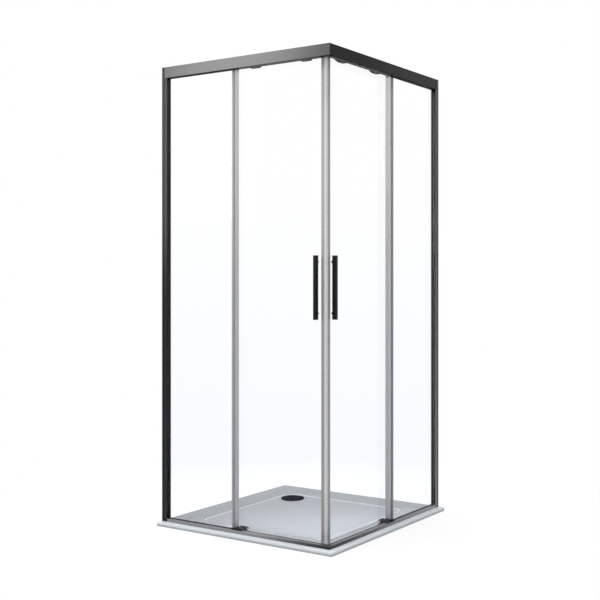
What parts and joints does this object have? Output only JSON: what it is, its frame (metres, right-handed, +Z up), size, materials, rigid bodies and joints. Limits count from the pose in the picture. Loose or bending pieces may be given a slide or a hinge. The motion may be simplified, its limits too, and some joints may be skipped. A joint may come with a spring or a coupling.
{
  "type": "corner shower enclosure",
  "caption": "Square corner shower enclosure on a low tray, with a fixed pane and a sliding glass door on each open side that meet at the entry corner.",
  "frame": {"origin": "middle of the tray's underside, on the floor", "axes": "+Z up; the walls of the room are at -X and +Y; the faces with doors look along -Y (left_ pieces) and +X (right_ pieces), and meet at the entry corner (+X, -Y)"},
  "size_m": [0.9, 0.9, 1.941],
  "materials": {
    "tray": "smooth white sanitary surface with a low sheen",
    "frame": "anthracite powder coat, fine satin",
    "glass": "clear toughened safety glass",
    "seal_profile": "pale translucent plastic profile",
    "gasket": "dark soft glazing rubber",
    "handle": "black powder coat, satin",
    "black_plastic": "fine matt moulded plastic",
    "carriage": "anthracite coated casting",
    "steel": "turned stainless steel",
    "channel": "mill-finished extrusion",
    "nylon": "white nylon",
    "magnet": "magnetic rubber strip",
    "waste": "moulded grey plastic",
    "cover": "black satin coated plate"
  },
  "bodies": {
    "root": {"shower_tray": "tray", "waste_flange": "waste", "top_corner_bracket": "channel", "bottom_corner_bracket": "channel", "left_wall_profile": "frame", "left_frame_post": "frame", "left_post_screws": "steel", "left_top_rail": "frame", "left_bottom_rail": "frame", "left_fixed_glass": "glass", "left_glazing_gasket": "gasket", "left_edge_profile": "seal_profile", "left_door_guide": "black_plastic", "left_track_stops": "black_plastic", "right_wall_profile": "frame", "right_frame_post": "frame", "right_post_screws": "steel", "right_top_rail": "frame", "right_bottom_rail": "frame", "right_fixed_glass": "glass", "right_glazing_gasket": "gasket", "right_edge_profile": "seal_profile", "right_door_guide": "black_plastic", "right_track_stops": "black_plastic"},
    "drain_cover": {"drain_cover": "cover"},
    "left_door": {"left_door_glass": "glass", "left_closing_profile": "seal_profile", "left_magnet_strip": "magnet", "left_trailing_seal": "seal_profile", "left_bottom_seal": "seal_profile", "left_handle": "handle", "left_handle_screws": "steel", "left_rear_carriage": "carriage", "left_front_carriage": "carriage", "left_clamp_plates": "carriage", "left_carriage_bolts": "steel", "left_wheel_axles": "steel"},
    "left_wheel_1": {"left_wheel_1": "nylon"},
    "left_wheel_2": {"left_wheel_2": "nylon"},
    "left_wheel_3": {"left_wheel_3": "nylon"},
    "left_wheel_4": {"left_wheel_4": "nylon"},
    "right_door": {"right_door_glass": "glass", "right_closing_profile": "seal_profile", "right_magnet_strip": "magnet", "right_trailing_seal": "seal_profile", "right_bottom_seal": "seal_profile", "right_handle": "handle", "right_handle_screws": "steel", "right_rear_carriage": "carriage", "right_front_carriage": "carriage", "right_clamp_plates": "carriage", "right_carriage_bolts": "steel", "right_wheel_axles": "steel"},
    "right_wheel_1": {"right_wheel_1": "nylon"},
    "right_wheel_2": {"right_wheel_2": "nylon"},
    "right_wheel_3": {"right_wheel_3": "nylon"},
    "right_wheel_4": {"right_wheel_4": "nylon"}
  },
  "joints": [
    {"name": "left_door_slide", "type": "slide", "parent": "root", "child": "left_door", "axis": [-1, 0, 0], "range_m": [0, 0.345]},
    {"name": "right_door_slide", "type": "slide", "parent": "root", "child": "right_door", "axis": [0, 1, 0], "range_m": [0, 0.345]},
    {"name": "drain_cover_lift", "type": "slide", "parent": "root", "child": "drain_cover", "axis": [0, 0, 1], "range_m": [0, 0.15]},
    {"name": "left_wheel_1_spin", "type": "hinge", "parent": "left_door", "child": "left_wheel_1", "pos_m": [0.0185, -0.4035, 1.9223], "axis": [0, -1, 0], "continuous": true},
    {"name": "left_wheel_2_spin", "type": "hinge", "parent": "left_door", "child": "left_wheel_2", "pos_m": [0.0435, -0.4035, 1.9223], "axis": [0, -1, 0], "continuous": true},
    {"name": "left_wheel_3_spin", "type": "hinge", "parent": "left_door", "child": "left_wheel_3", "pos_m": [0.2705, -0.4035, 1.9223], "axis": [0, -1, 0], "continuous": true},
    {"name": "left_wheel_4_spin", "type": "hinge", "parent": "left_door", "child": "left_wheel_4", "pos_m": [0.2955, -0.4035, 1.9223], "axis": [0, -1, 0], "continuous": true},
    {"name": "right_wheel_1_spin", "type": "hinge", "parent": "right_door", "child": "right_wheel_1", "pos_m": [0.4035, -0.0185, 1.9223], "axis": [-1, 0, 0], "continuous": true},
    {"name": "right_wheel_2_spin", "type": "hinge", "parent": "right_door", "child": "right_wheel_2", "pos_m": [0.4035, -0.0435, 1.9223], "axis": [-1, 0, 0], "continuous": true},
    {"name": "right_wheel_3_spin", "type": "hinge", "parent": "right_door", "child": "right_wheel_3", "pos_m": [0.4035, -0.2705, 1.9223], "axis": [-1, 0, 0], "continuous": true},
    {"name": "right_wheel_4_spin", "type": "hinge", "parent": "right_door", "child": "right_wheel_4", "pos_m": [0.4035, -0.2955, 1.9223], "axis": [-1, 0, 0], "continuous": true}
  ],
  "couplings": [
    {"joint": "left_wheel_1_spin", "follows": "left_door_slide", "rad_per_m": 90.909},
    {"joint": "left_wheel_2_spin", "follows": "left_door_slide", "rad_per_m": 90.909},
    {"joint": "left_wheel_3_spin", "follows": "left_door_slide", "rad_per_m": 90.909},
    {"joint": "left_wheel_4_spin", "follows": "left_door_slide", "rad_per_m": 90.909},
    {"joint": "right_wheel_1_spin", "follows": "right_door_slide", "rad_per_m": 90.909},
    {"joint": "right_wheel_2_spin", "follows": "right_door_slide", "rad_per_m": 90.909},
    {"joint": "right_wheel_3_spin", "follows": "right_door_slide", "rad_per_m": 90.909},
    {"joint": "right_wheel_4_spin", "follows": "right_door_slide", "rad_per_m": 90.909}
  ]
}
